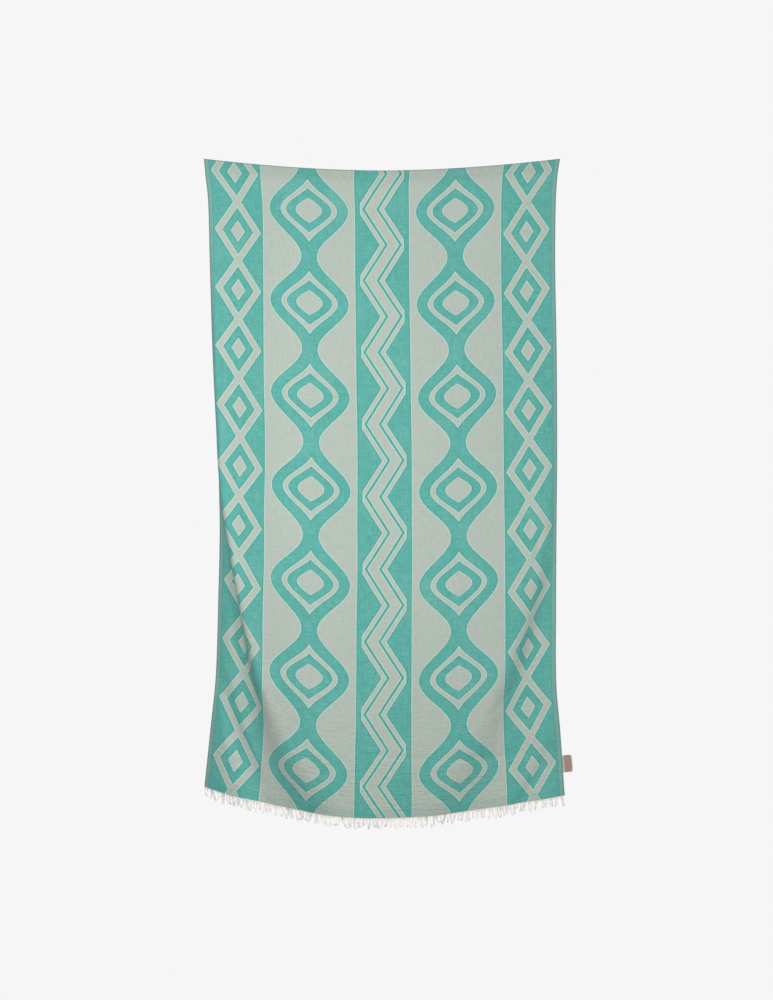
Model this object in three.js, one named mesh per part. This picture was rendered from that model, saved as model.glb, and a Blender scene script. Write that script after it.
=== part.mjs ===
import * as THREE from 'three';

// A flat-woven beach towel that hangs by its two top corners, with a fringe along its lower end.
// Sizes are millimetres. X runs to the right, Z up, and the face of the cloth looks along -Y.
// A place on the cloth is given by across, from the left selvedge, and down, from the top edge.

// The cloth as it is woven
const CLOTH_WIDTH = 1000;
const CLOTH_LENGTH = 1800;
const CLOTH_THICKNESS = 2;
const HEM_THICKNESS = 3;
const HEM_DEPTH = 26;
const HEM_STEP = 4;
const PIECE_GAP = 0.4;

// The top edge sags between the corners
const TOP_SAG = 33;
const TOP_CURVE = 1.8;

// The bottom hem hangs lowest a little left of the middle and rises to the two corners
const HEM_LOW_SHARE = 0.47;
const HEM_LOW_HEIGHT = -1805;
const HEM_RISE_LEFT = 79;
const HEM_RISE_RIGHT = 55;
const HEM_CURVE_LEFT = 1.55;
const HEM_CURVE_RIGHT = 1.9;

// Outline: where the cloth ends at the left and right, and how far forward each selvedge hangs
const SIDES = [
  { down: 0, left: -498, right: 498, leftForward: 0, rightForward: 0 },
  { down: 45, left: -494, right: 491, leftForward: 0, rightForward: 0 },
  { down: 120, left: -486, right: 486, leftForward: 1, rightForward: 1 },
  { down: 300, left: -481, right: 484, leftForward: 2, rightForward: 3 },
  { down: 550, left: -473, right: 488, leftForward: 2, rightForward: 5 },
  { down: 840, left: -459, right: 489, leftForward: 0, rightForward: 8 },
  { down: 1050, left: -454, right: 487, leftForward: -3, rightForward: 10 },
  { down: 1260, left: -458, right: 486, leftForward: -4, rightForward: 10 },
  { down: 1480, left: -465, right: 487, leftForward: -4, rightForward: 6 },
  { down: 1620, left: -479, right: 499, leftForward: -8, rightForward: 0 },
  { down: 1800, left: -498, right: 512, leftForward: -16, rightForward: -10 },
];

// Folds: each runs down the cloth through its rows. At a row it lies at across and reaches to
// both sides of it. turn is the angle in degrees that the cloth swings forward on the way to
// the right, so a positive turn is a flank that faces left. lift is the height of a soft ridge.
const FOLDS = [
  // The whole front bellies forward a little
  [
    { down: 0, across: 500, reach: 520, turn: 0, lift: 0 },
    { down: 260, across: 500, reach: 520, turn: 0, lift: 14 },
    { down: 700, across: 500, reach: 520, turn: 0, lift: 24 },
    { down: 1250, across: 480, reach: 500, turn: 0, lift: 18 },
    { down: 1800, across: 470, reach: 480, turn: 0, lift: 6 },
  ],
  // Main left fold: the selvedge rolls back, then the flank leaves the edge and runs inwards
  [
    { down: 0, across: -8, reach: 16, turn: 0, lift: 0 },
    { down: 240, across: -4, reach: 20, turn: 40, lift: 0 },
    { down: 560, across: 0, reach: 24, turn: 84, lift: 0 },
    { down: 800, across: 5, reach: 26, turn: 94, lift: 0 },
    { down: 940, across: 14, reach: 27, turn: 94, lift: 0 },
    { down: 1060, across: 34, reach: 28, turn: 92, lift: 0 },
    { down: 1270, across: 79, reach: 32, turn: 84, lift: 0 },
    { down: 1420, across: 113, reach: 40, turn: 66, lift: 0 },
    { down: 1560, across: 158, reach: 62, turn: 43, lift: 0 },
    { down: 1680, across: 208, reach: 96, turn: 27, lift: 0 },
    { down: 1800, across: 285, reach: 140, turn: 13, lift: 0 },
  ],
  // Left of that fold, the free strip beside the selvedge turns away a little
  [
    { down: 900, across: 0, reach: 30, turn: 0, lift: 0 },
    { down: 1200, across: 0, reach: 50, turn: 26, lift: 0 },
    { down: 1500, across: 0, reach: 90, turn: 30, lift: 0 },
    { down: 1800, across: 0, reach: 170, turn: 30, lift: 0 },
  ],
  // Main right fold: softer, and wide at the hem
  [
    { down: 0, across: 1000, reach: 40, turn: 0, lift: 0 },
    { down: 300, across: 1000, reach: 40, turn: -14, lift: 0 },
    { down: 800, across: 1000, reach: 44, turn: -28, lift: 0 },
    { down: 1100, across: 974, reach: 52, turn: -35, lift: 0 },
    { down: 1280, across: 926, reach: 56, turn: -40, lift: 0 },
    { down: 1400, across: 886, reach: 64, turn: -38, lift: 0 },
    { down: 1500, across: 846, reach: 76, turn: -31, lift: 0 },
    { down: 1620, across: 796, reach: 95, turn: -22, lift: 0 },
    { down: 1800, across: 690, reach: 130, turn: -12, lift: 0 },
  ],
  // Two soft ridges beside the right fold
  [
    { down: 760, across: 905, reach: 40, turn: 0, lift: 0 },
    { down: 980, across: 872, reach: 36, turn: 0, lift: 6 },
    { down: 1300, across: 822, reach: 40, turn: 0, lift: 0 },
  ],
  [
    { down: 820, across: 955, reach: 30, turn: 0, lift: 0 },
    { down: 1060, across: 916, reach: 30, turn: 0, lift: 6 },
    { down: 1360, across: 846, reach: 34, turn: 0, lift: 0 },
  ],
  // Short folds in the two lower corners
  [
    { down: 1440, across: 10, reach: 30, turn: 0, lift: 0 },
    { down: 1600, across: 70, reach: 44, turn: 0, lift: -10 },
    { down: 1800, across: 165, reach: 56, turn: 0, lift: -6 },
  ],
  [
    { down: 1590, across: 990, reach: 30, turn: 0, lift: 0 },
    { down: 1700, across: 950, reach: 40, turn: 0, lift: -9 },
    { down: 1800, across: 885, reach: 52, turn: 0, lift: -8 },
  ],
  // Long easy waves that take up the slack across
  [
    { down: 0, across: 190, reach: 140, turn: 0, lift: 0 },
    { down: 300, across: 200, reach: 140, turn: 0, lift: 9 },
    { down: 1100, across: 215, reach: 150, turn: 0, lift: 10 },
    { down: 1800, across: 380, reach: 150, turn: 0, lift: 8 },
  ],
  [
    { down: 0, across: 760, reach: 150, turn: 0, lift: 0 },
    { down: 340, across: 750, reach: 150, turn: 0, lift: 8 },
    { down: 1100, across: 700, reach: 150, turn: 0, lift: 10 },
    { down: 1800, across: 600, reach: 140, turn: 0, lift: 8 },
  ],
];

// Fineness of the cloth's solid, and of the sum that works out each section
const CLOTH_COLUMNS = 44;
const CLOTH_ROWS = 56;
const EDGE_CROWDING = 0.45;
const SECTION_STEPS = 250;
const NORMAL_STEP = 2;

// The fringe: clumps of warp ends below one narrow strip
const FRINGE_STRANDS = 146;
const FRINGE_STRIP_DEPTH = 3;
const FRINGE_STRIP_THICKNESS = 1.8;
const STRAND_SHARE = 0.44;
const STRAND_LENGTH = 29;
const STRAND_LENGTH_SPREAD = 5;
const STRAND_RINGS = 3;
const STRAND_TIP_SCALE = 0.45;
const STRAND_SWAY = 4.5;
const STRAND_SWAY_PITCH = 190;
const STRAND_JITTER = 1.5;

// The side label: a ribbon folded in half, its two ends sewn behind the selvedge
const LABEL_DOWN = 1710;
const LABEL_HEIGHT = 48;
const LABEL_OUT = 28;
const LABEL_SEATED = 8;
const LABEL_LAYER = 0.7;
const LABEL_LOOP = 1.2;
const LABEL_TILT = 1.4;
const LABEL_CLEARANCE = 1.4;
const LABEL_CORNER_STEPS = 8;

const COLOUR = {
  cloth: 0x63ada2,
  fringe: 0xeee8df,
  label: 0xa88e80,
};

const mix = THREE.MathUtils.lerp;
const clamp = THREE.MathUtils.clamp;

// Smooth value of one column of a table at a distance down the cloth
function valueAt(table, column, down) {
  const last = table.length - 1;
  const place = clamp(down, table[0].down, table[last].down);
  let index = 0;
  while (index < last - 1 && place > table[index + 1].down) index += 1;
  const slopeAt = (row) => {
    const before = table[Math.max(row - 1, 0)];
    const after = table[Math.min(row + 1, last)];
    return (after[column] - before[column]) / (after.down - before.down);
  };
  const from = table[index];
  const to = table[index + 1];
  const span = to.down - from.down;
  const t = (place - from.down) / span;
  const rise = t * t * (3 - 2 * t);
  const leave = t * (1 - t) * (1 - t) * span * slopeAt(index);
  const arrive = t * t * (1 - t) * span * slopeAt(index + 1);
  return mix(from[column], to[column], rise) + leave - arrive;
}

// Height of the top edge and of the bottom hem
function topHeight(share) {
  return TOP_SAG * Math.pow(Math.abs(2 * share - 1), TOP_CURVE);
}

function hemHeight(share) {
  const run = share - HEM_LOW_SHARE;
  if (run < 0) {
    return HEM_LOW_HEIGHT + HEM_RISE_LEFT * Math.pow(-run / HEM_LOW_SHARE, HEM_CURVE_LEFT);
  }
  return HEM_LOW_HEIGHT + HEM_RISE_RIGHT * Math.pow(run / (1 - HEM_LOW_SHARE), HEM_CURVE_RIGHT);
}

// One level section of the hanging cloth: sideways and forward places at even steps across
function sectionAt(down) {
  const folds = FOLDS.map((rows) => ({
    across: valueAt(rows, 'across', down),
    reach: valueAt(rows, 'reach', down),
    turn: THREE.MathUtils.degToRad(valueAt(rows, 'turn', down)),
    lift: valueAt(rows, 'lift', down),
  }));
  const step = CLOTH_WIDTH / SECTION_STEPS;
  const sideways = [0];
  const forward = [0];
  for (let i = 0; i < SECTION_STEPS; i += 1) {
    const across = (i + 0.5) * step;
    let angle = 0;
    for (const fold of folds) {
      const t = (across - fold.across) / fold.reach;
      if (Math.abs(t) >= 1) continue;
      angle += fold.turn * Math.cos(Math.PI * t / 2) ** 2;
      angle -= fold.lift * Math.PI / (2 * fold.reach) * Math.sin(Math.PI * t);
    }
    sideways.push(sideways[i] + Math.cos(angle) * step);
    forward.push(forward[i] + Math.sin(angle) * step);
  }
  const least = Math.min(...sideways);
  const most = Math.max(...sideways);
  const left = valueAt(SIDES, 'left', down);
  const right = valueAt(SIDES, 'right', down);
  const leftForward = valueAt(SIDES, 'leftForward', down);
  const rightForward = valueAt(SIDES, 'rightForward', down) - forward[SECTION_STEPS];
  return {
    sideways: sideways.map((x) => mix(left, right, (x - least) / (most - least))),
    forward: forward.map((y, i) => y + mix(leftForward, rightForward, i / SECTION_STEPS)),
  };
}

const sections = new Map();

// The middle of the cloth's thickness at a place on the cloth
function clothPoint(across, down) {
  if (!sections.has(down)) sections.set(down, sectionAt(down));
  const section = sections.get(down);
  const place = across / CLOTH_WIDTH * SECTION_STEPS;
  const index = clamp(Math.floor(place), 0, SECTION_STEPS - 1);
  const t = place - index;
  const x = mix(section.sideways[index], section.sideways[index + 1], t);
  const forward = mix(section.forward[index], section.forward[index + 1], t);
  const share = across / CLOTH_WIDTH;
  const z = mix(topHeight(share), hemHeight(share), down / CLOTH_LENGTH);
  return new THREE.Vector3(x, -forward, z);
}

// Which way the face of the cloth looks at a place on it
function clothNormal(across, down) {
  const left = Math.max(across - NORMAL_STEP, 0);
  const right = Math.min(across + NORMAL_STEP, CLOTH_WIDTH);
  const rightward = clothPoint(right, down).sub(clothPoint(left, down));
  const downward = clothPoint(across, down + NORMAL_STEP).sub(clothPoint(across, down - NORMAL_STEP));
  return downward.cross(rightward).normalize();
}

// The corners of the sheet's front and back at a place on the cloth
function frontAndBack(across, down, thickness) {
  const middle = clothPoint(across, down);
  const normal = clothNormal(across, down);
  return [
    middle.clone().addScaledVector(normal, thickness / 2),
    middle.clone().addScaledVector(normal, -thickness / 2),
  ];
}

// Collects the points and faces of one closed solid
class SolidBuilder {
  constructor() {
    this.positions = [];
    this.faces = [];
  }

  point(place) {
    this.positions.push(place.x, place.y, place.z);
    return this.positions.length / 3 - 1;
  }

  quad(a, b, c, d) {
    this.faces.push(a, b, c, a, c, d);
  }

  geometry() {
    const geometry = new THREE.BufferGeometry();
    geometry.setAttribute('position', new THREE.Float32BufferAttribute(this.positions, 3));
    geometry.setIndex(this.faces);
    geometry.computeVertexNormals();
    return geometry;
  }
}

// Columns of the cloth's grid lie closer together towards the two selvedges, which roll back
function columnPlace(share) {
  const turn = 2 * Math.PI;
  return CLOTH_WIDTH * (share - EDGE_CROWDING * Math.sin(turn * share) / turn);
}

// The cloth: a grid across and down, given thickness and closed around its four edges
function clothGeometry() {
  const solid = new SolidBuilder();
  const downs = [0, HEM_DEPTH, HEM_DEPTH + HEM_STEP];
  const rowStep = (CLOTH_LENGTH - HEM_DEPTH - HEM_STEP) / CLOTH_ROWS;
  for (let row = 1; row <= CLOTH_ROWS; row += 1) downs.push(HEM_DEPTH + HEM_STEP + row * rowStep);
  const grid = downs.map((down) => {
    const thickness = down <= HEM_DEPTH ? HEM_THICKNESS : CLOTH_THICKNESS;
    const line = [];
    for (let column = 0; column <= CLOTH_COLUMNS; column += 1) {
      const across = columnPlace(column / CLOTH_COLUMNS);
      const [front, back] = frontAndBack(across, down, thickness);
      line.push({ front: solid.point(front), back: solid.point(back) });
    }
    return line;
  });
  for (let row = 0; row < downs.length - 1; row += 1) {
    for (let column = 0; column < CLOTH_COLUMNS; column += 1) {
      const a = grid[row][column];
      const b = grid[row + 1][column];
      const c = grid[row + 1][column + 1];
      const d = grid[row][column + 1];
      solid.quad(a.front, b.front, c.front, d.front);
      solid.quad(a.back, d.back, c.back, b.back);
    }
  }
  const rim = [
    ...grid.map((line) => line[0]),
    ...grid[grid.length - 1].slice(1),
    ...grid.slice(0, -1).reverse().map((line) => line[CLOTH_COLUMNS]),
    ...grid[0].slice(1, -1).reverse(),
  ];
  rim.forEach((from, i) => {
    const to = rim[(i + 1) % rim.length];
    solid.quad(to.front, from.front, from.back, to.back);
  });
  return solid.geometry();
}

// Repeatable scatter between -1 and 1, the next of the row that the last seed began
function scatter() {
  return 2 * THREE.MathUtils.seededRandom() - 1;
}

// The fringe: a narrow strip just below the hem, with a four-sided strand out of its lower face
// at every clump
function fringeGeometry() {
  const solid = new SolidBuilder();
  const pitch = CLOTH_WIDTH / FRINGE_STRANDS;
  const stripTop = CLOTH_LENGTH + PIECE_GAP;
  const stripBottom = stripTop + FRINGE_STRIP_DEPTH;
  const bounds = [0];
  for (let strand = 0; strand < FRINGE_STRANDS; strand += 1) {
    const middle = (strand + 0.5) * pitch;
    bounds.push(middle - STRAND_SHARE * pitch / 2, middle + STRAND_SHARE * pitch / 2);
  }
  bounds.push(CLOTH_WIDTH);
  const columns = bounds.map((across) => {
    const [topFront, topBack] = frontAndBack(across, stripTop, FRINGE_STRIP_THICKNESS);
    const [lowFront, lowBack] = frontAndBack(across, stripBottom, FRINGE_STRIP_THICKNESS);
    return {
      topFront: solid.point(topFront),
      topBack: solid.point(topBack),
      lowFront: solid.point(lowFront),
      lowBack: solid.point(lowBack),
      corners: [lowFront, lowBack],
    };
  });
  for (let i = 0; i < columns.length - 1; i += 1) {
    const a = columns[i];
    const b = columns[i + 1];
    solid.quad(a.topFront, a.lowFront, b.lowFront, b.topFront);
    solid.quad(a.topBack, b.topBack, b.lowBack, a.lowBack);
    solid.quad(a.topFront, b.topFront, b.topBack, a.topBack);
    const root = [a.lowFront, a.lowBack, b.lowBack, b.lowFront];
    if (i % 2 === 0) solid.quad(...root);
    else addStrand(solid, (i - 1) / 2, root, [...a.corners, ...b.corners.slice().reverse()]);
  }
  const first = columns[0];
  const last = columns[columns.length - 1];
  solid.quad(first.topFront, first.topBack, first.lowBack, first.lowFront);
  solid.quad(last.topFront, last.lowFront, last.lowBack, last.topBack);
  return solid.geometry();
}

// One strand: rings that narrow and sway on their way down from the root
function addStrand(solid, strand, root, corners) {
  const centre = new THREE.Vector3();
  for (const corner of corners) centre.addScaledVector(corner, 1 / corners.length);
  const phase = 2 * Math.PI * strand * CLOTH_WIDTH / FRINGE_STRANDS / STRAND_SWAY_PITCH;
  THREE.MathUtils.seededRandom(strand + 1);
  const length = STRAND_LENGTH + STRAND_LENGTH_SPREAD * scatter();
  const swayAcross = STRAND_SWAY * Math.sin(phase) + STRAND_JITTER * scatter();
  const swayForward = STRAND_SWAY * Math.cos(phase) + STRAND_SWAY * scatter();
  let upper = root;
  for (let ring = 1; ring <= STRAND_RINGS; ring += 1) {
    const t = ring / STRAND_RINGS;
    const offset = new THREE.Vector3(swayAcross * t * t, -swayForward * t * t, -length * t);
    const scale = mix(1, STRAND_TIP_SCALE, t);
    const lower = corners.map((corner) => {
      const place = corner.clone().sub(centre).multiplyScalar(scale).add(centre).add(offset);
      return solid.point(place);
    });
    for (let side = 0; side < lower.length; side += 1) {
      const next = (side + 1) % lower.length;
      solid.quad(upper[side], upper[next], lower[next], lower[side]);
    }
    upper = lower;
  }
  solid.quad(...upper);
}

// The side label: a folded ribbon seen from its end, drawn out along its height
function labelGeometry() {
  const thickness = 2 * LABEL_LAYER + LABEL_LOOP;
  const bend = LABEL_OUT - thickness / 2;
  const profile = new THREE.Shape();
  profile.moveTo(-LABEL_SEATED, 0);
  profile.lineTo(bend, 0);
  profile.absarc(bend, thickness / 2, thickness / 2, -Math.PI / 2, Math.PI / 2, false);
  profile.lineTo(-LABEL_SEATED, thickness);
  profile.lineTo(-LABEL_SEATED, thickness - LABEL_LAYER);
  profile.lineTo(bend, thickness - LABEL_LAYER);
  profile.absarc(bend, thickness / 2, LABEL_LOOP / 2, Math.PI / 2, -Math.PI / 2, true);
  profile.lineTo(-LABEL_SEATED, LABEL_LAYER);
  profile.closePath();
  const geometry = new THREE.ExtrudeGeometry(profile, {
    depth: LABEL_HEIGHT,
    bevelEnabled: false,
    curveSegments: LABEL_CORNER_STEPS,
  });
  geometry.translate(0, 0, -LABEL_HEIGHT / 2);
  return geometry;
}

// Seats the label behind the right selvedge, with its outer end tilted up a little
function seatLabel(label) {
  const normal = clothNormal(CLOTH_WIDTH - LABEL_SEATED / 2, LABEL_DOWN);
  const above = clothPoint(CLOTH_WIDTH, LABEL_DOWN - LABEL_HEIGHT / 2);
  const below = clothPoint(CLOTH_WIDTH, LABEL_DOWN + LABEL_HEIGHT / 2);
  const tilt = THREE.MathUtils.degToRad(LABEL_TILT);
  const upward = above.sub(below).projectOnPlane(normal).normalize().applyAxisAngle(normal, tilt);
  const backward = normal.clone().negate();
  const outward = new THREE.Vector3().crossVectors(backward, upward);
  label.rotation.setFromRotationMatrix(new THREE.Matrix4().makeBasis(outward, backward, upward));
  label.position.copy(clothPoint(CLOTH_WIDTH, LABEL_DOWN));
  label.position.addScaledVector(backward, CLOTH_THICKNESS / 2 + LABEL_CLEARANCE);
}

function piece(name, geometry, colour, roughness) {
  const material = new THREE.MeshStandardMaterial({ color: colour, roughness, metalness: 0 });
  const mesh = new THREE.Mesh(geometry, material);
  mesh.name = name;
  return mesh;
}

const towel = new THREE.Group();
const label = piece('side_label', labelGeometry(), COLOUR.label, 0.7);
seatLabel(label);
towel.add(piece('towel_cloth', clothGeometry(), COLOUR.cloth, 0.92));
towel.add(piece('fringe_bottom', fringeGeometry(), COLOUR.fringe, 0.95));
towel.add(label);

export default towel;
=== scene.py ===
import math

import bpy
import numpy as np
from mathutils import Matrix, Vector


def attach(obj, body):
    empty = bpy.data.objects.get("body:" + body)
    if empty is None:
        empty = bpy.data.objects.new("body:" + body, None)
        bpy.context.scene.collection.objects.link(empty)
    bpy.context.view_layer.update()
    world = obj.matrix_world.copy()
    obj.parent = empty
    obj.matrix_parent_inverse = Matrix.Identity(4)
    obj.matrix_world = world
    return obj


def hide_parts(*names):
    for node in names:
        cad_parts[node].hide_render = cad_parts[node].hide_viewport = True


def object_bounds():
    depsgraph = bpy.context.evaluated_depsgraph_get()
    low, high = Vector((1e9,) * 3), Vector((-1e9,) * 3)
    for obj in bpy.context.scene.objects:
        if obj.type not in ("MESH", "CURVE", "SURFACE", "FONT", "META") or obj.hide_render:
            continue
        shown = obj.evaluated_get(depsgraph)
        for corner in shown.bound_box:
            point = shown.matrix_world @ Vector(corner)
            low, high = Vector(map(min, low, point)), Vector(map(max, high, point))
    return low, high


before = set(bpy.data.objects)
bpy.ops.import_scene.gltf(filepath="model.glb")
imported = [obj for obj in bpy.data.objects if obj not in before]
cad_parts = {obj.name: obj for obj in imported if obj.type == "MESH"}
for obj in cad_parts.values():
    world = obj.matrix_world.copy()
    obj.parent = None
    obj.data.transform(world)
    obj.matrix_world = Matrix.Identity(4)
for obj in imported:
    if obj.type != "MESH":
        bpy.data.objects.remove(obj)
cad_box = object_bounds()

# Camera. It stands straight in front of the towel, level with the middle of the cloth, and far
# enough back that the cloth shows almost no perspective.
VIEW_DISTANCE = 5.437
VIEW_SIDE = 0.0126
VIEW_HEIGHT = -0.9213
LENS_MM = 70
SENSOR_MM = 36

camera = bpy.data.objects.new("view", bpy.data.cameras.new("view"))
camera.data.lens = LENS_MM
camera.data.sensor_width = SENSOR_MM
camera.location = (VIEW_SIDE, -VIEW_DISTANCE, VIEW_HEIGHT)
camera.rotation_euler = (math.radians(90), 0, 0)
bpy.context.collection.objects.link(camera)
bpy.context.scene.camera = camera

# Studio. A plain pale floor lies under the towel and runs into a surround of the same tone. A
# soft key lamp stands high on the right, a very wide fill in front, a wide lamp straight behind,
# and a soft box in front of the cloth, a little to its left.
PALE = 0.922
FLOOR_SIZE = 60
FLOOR_BELOW = 0.25
LAMPS = {
    "key": {"from": (1.2, -1.0, 1.2), "angle": 40, "energy": 1.25},
    "fill": {"from": (0.0, -1.0, 0.2), "angle": 140, "energy": 2.41},
    "back": {"from": (0.15, 1.0, 0.45), "angle": 60, "energy": 4.5},
}
SOFT_BOX = {"place": (-0.62, -1.5, -0.54), "aim": (0.0, 0.0, -0.76), "size": 1.0, "power": 13.0}

surround = bpy.data.worlds.new("surround")
surround.use_nodes = True
surround.node_tree.nodes["Background"].inputs["Color"].default_value = (PALE, PALE, PALE, 1)
surround.cycles_visibility.diffuse = False
bpy.context.scene.world = surround
bpy.context.scene.view_settings.view_transform = "Standard"

half_floor = FLOOR_SIZE / 2
floor_height = cad_box[0].z - FLOOR_BELOW
floor_corners = [
    (aside * half_floor, away * half_floor, floor_height)
    for aside, away in ((-1, -1), (1, -1), (1, 1), (-1, 1))
]
floor_mesh = bpy.data.meshes.new("floor")
floor_mesh.from_pydata(floor_corners, [], [(0, 1, 2, 3)])
floor_paint = bpy.data.materials.new("pale_floor")
floor_paint.use_nodes = True
floor_nodes = floor_paint.node_tree.nodes
floor_nodes.clear()
floor_glow = floor_nodes.new("ShaderNodeEmission")
floor_glow.inputs["Color"].default_value = (PALE, PALE, PALE, 1)
floor_out = floor_nodes.new("ShaderNodeOutputMaterial")
floor_paint.node_tree.links.new(floor_glow.outputs[0], floor_out.inputs["Surface"])
floor_mesh.materials.append(floor_paint)
floor = bpy.data.objects.new("floor", floor_mesh)
floor.visible_diffuse = False
bpy.context.collection.objects.link(floor)

for name, lamp in LAMPS.items():
    light = bpy.data.lights.new(name, "SUN")
    light.angle = math.radians(lamp["angle"])
    light.energy = lamp["energy"]
    holder = bpy.data.objects.new(name, light)
    holder.rotation_euler = Vector(lamp["from"]).to_track_quat("Z", "Y").to_euler()
    bpy.context.collection.objects.link(holder)

light = bpy.data.lights.new("soft_box", "AREA")
light.size = SOFT_BOX["size"]
light.energy = SOFT_BOX["power"]
holder = bpy.data.objects.new("soft_box", light)
holder.location = SOFT_BOX["place"]
holder.rotation_euler = (holder.location - Vector(SOFT_BOX["aim"])).to_track_quat("Z", "Y").to_euler()
holder.visible_camera = False
bpy.context.collection.objects.link(holder)

# Towel cloth. One length of double-woven cotton, cut at 1.0 by 1.8 m, whose two faces show the
# same bands with their colours changed over. It hangs by its two top corners, so that the top
# edge sags, the sides draw in and roll back, and long folds run down to the middle of the hem.
CLOTH_WIDTH = 1.0
CLOTH_LENGTH = 1.8
CLOTH_THICKNESS = 0.002
TOP_HEM_THICKNESS = 0.003
TOP_HEM_DEPTH = 0.026
CLOTH_COLUMNS = 158
CLOTH_ROWS = 294
EDGE_CROWDING = 0.56
RIM = 0.0012
RIM_SHARE = 0.4
SECTION_STEPS = 500

TOP_SAG = 0.033
TOP_CURVE = 1.8
HEM_LOW_SHARE = 0.47
HEM_LOW_HEIGHT = -1.805
HEM_RISE_LEFT = 0.079
HEM_RISE_RIGHT = 0.055
HEM_CURVE_LEFT = 1.55
HEM_CURVE_RIGHT = 1.9


def table(columns, *rows):
    """A small table, as one array for each named column."""
    return dict(zip(columns.split(), np.array(rows, float).T))


# The hang, at distances down the cloth. The sides have their places across and how far forward
# they stand. Each fold has its place across the flat cloth, how far it reaches to both sides, how
# many degrees it turns the cloth and how far it lifts it.
SIDES = table(
    "down left right left_forward right_forward",
    (0.000, -0.498, 0.498, 0.000, 0.000),
    (0.045, -0.494, 0.491, 0.000, 0.000),
    (0.120, -0.486, 0.486, 0.001, 0.001),
    (0.300, -0.481, 0.484, 0.002, 0.003),
    (0.550, -0.473, 0.488, 0.002, 0.005),
    (0.840, -0.459, 0.489, 0.000, 0.008),
    (1.050, -0.454, 0.487, -0.003, 0.010),
    (1.260, -0.458, 0.486, -0.004, 0.010),
    (1.480, -0.465, 0.487, -0.004, 0.006),
    (1.620, -0.479, 0.499, -0.008, 0.000),
    (1.800, -0.498, 0.512, -0.016, -0.010),
)
FOLD_COLUMNS = "down across reach turn lift"
FOLDS = {
    "belly": table(
        FOLD_COLUMNS,
        (0.000, 0.500, 0.520, 0, 0.000),
        (0.260, 0.500, 0.520, 0, 0.014),
        (0.700, 0.500, 0.520, 0, 0.024),
        (1.250, 0.480, 0.500, 0, 0.018),
        (1.800, 0.470, 0.480, 0, 0.006),
    ),
    "left_fold": table(
        FOLD_COLUMNS,
        (0.000, -0.008, 0.016, 0, 0),
        (0.240, -0.004, 0.020, 40, 0),
        (0.560, 0.000, 0.024, 84, 0),
        (0.800, 0.005, 0.026, 94, 0),
        (0.940, 0.014, 0.027, 94, 0),
        (1.060, 0.034, 0.028, 92, 0),
        (1.270, 0.079, 0.032, 84, 0),
        (1.420, 0.113, 0.040, 66, 0),
        (1.560, 0.158, 0.062, 43, 0),
        (1.680, 0.208, 0.096, 27, 0),
        (1.800, 0.285, 0.140, 13, 0),
    ),
    "left_strip": table(
        FOLD_COLUMNS,
        (0.900, 0.000, 0.030, 0, 0),
        (1.200, 0.000, 0.050, 26, 0),
        (1.500, 0.000, 0.090, 30, 0),
        (1.800, 0.000, 0.170, 30, 0),
    ),
    "right_fold": table(
        FOLD_COLUMNS,
        (0.000, 1.000, 0.040, 0, 0),
        (0.300, 1.000, 0.040, -14, 0),
        (0.800, 1.000, 0.044, -28, 0),
        (1.100, 0.974, 0.052, -35, 0),
        (1.280, 0.926, 0.056, -40, 0),
        (1.400, 0.886, 0.064, -38, 0),
        (1.500, 0.846, 0.076, -31, 0),
        (1.620, 0.796, 0.095, -22, 0),
        (1.800, 0.690, 0.130, -12, 0),
    ),
    "ridge_inner": table(
        FOLD_COLUMNS,
        (0.760, 0.905, 0.040, 0, 0.000),
        (0.980, 0.872, 0.036, 0, 0.006),
        (1.300, 0.822, 0.040, 0, 0.000),
    ),
    "ridge_outer": table(
        FOLD_COLUMNS,
        (0.820, 0.955, 0.030, 0, 0.000),
        (1.060, 0.916, 0.030, 0, 0.006),
        (1.360, 0.846, 0.034, 0, 0.000),
    ),
    "corner_left": table(
        FOLD_COLUMNS,
        (1.440, 0.010, 0.030, 0, 0.000),
        (1.600, 0.070, 0.044, 0, -0.010),
        (1.800, 0.165, 0.056, 0, -0.006),
    ),
    "corner_right": table(
        FOLD_COLUMNS,
        (1.590, 0.990, 0.030, 0, 0.000),
        (1.700, 0.950, 0.040, 0, -0.009),
        (1.800, 0.885, 0.052, 0, -0.008),
    ),
    "wave_left": table(
        FOLD_COLUMNS,
        (0.000, 0.190, 0.140, 0, 0.000),
        (0.300, 0.200, 0.140, 0, 0.009),
        (1.100, 0.215, 0.150, 0, 0.010),
        (1.800, 0.380, 0.150, 0, 0.008),
    ),
    "wave_right": table(
        FOLD_COLUMNS,
        (0.000, 0.760, 0.150, 0, 0.000),
        (0.340, 0.750, 0.150, 0, 0.008),
        (1.100, 0.700, 0.150, 0, 0.010),
        (1.800, 0.600, 0.140, 0, 0.008),
    ),
}


def value_at(rows, column, down):
    """Smooth values of one column of a table at distances down the cloth."""
    places, values = rows["down"], rows[column]
    order = np.arange(len(places))
    before = np.maximum(order - 1, 0)
    after = np.minimum(order + 1, len(places) - 1)
    slopes = (values[after] - values[before]) / (places[after] - places[before])
    index = np.clip(np.searchsorted(places, down, side="right") - 1, 0, len(places) - 2)
    span = places[index + 1] - places[index]
    t = np.clip((down - places[index]) / span, 0, 1)
    rise = t * t * (3 - 2 * t)
    leave = t * (1 - t) ** 2 * span * slopes[index]
    arrive = t * t * (1 - t) * span * slopes[index + 1]
    return values[index] + (values[index + 1] - values[index]) * rise + leave - arrive


def columns_at(rows, down):
    """Each column of a table but its first, at distances down the cloth, as upright arrays."""
    return [value_at(rows, name, down)[:, None] for name in list(rows)[1:]]


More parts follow.
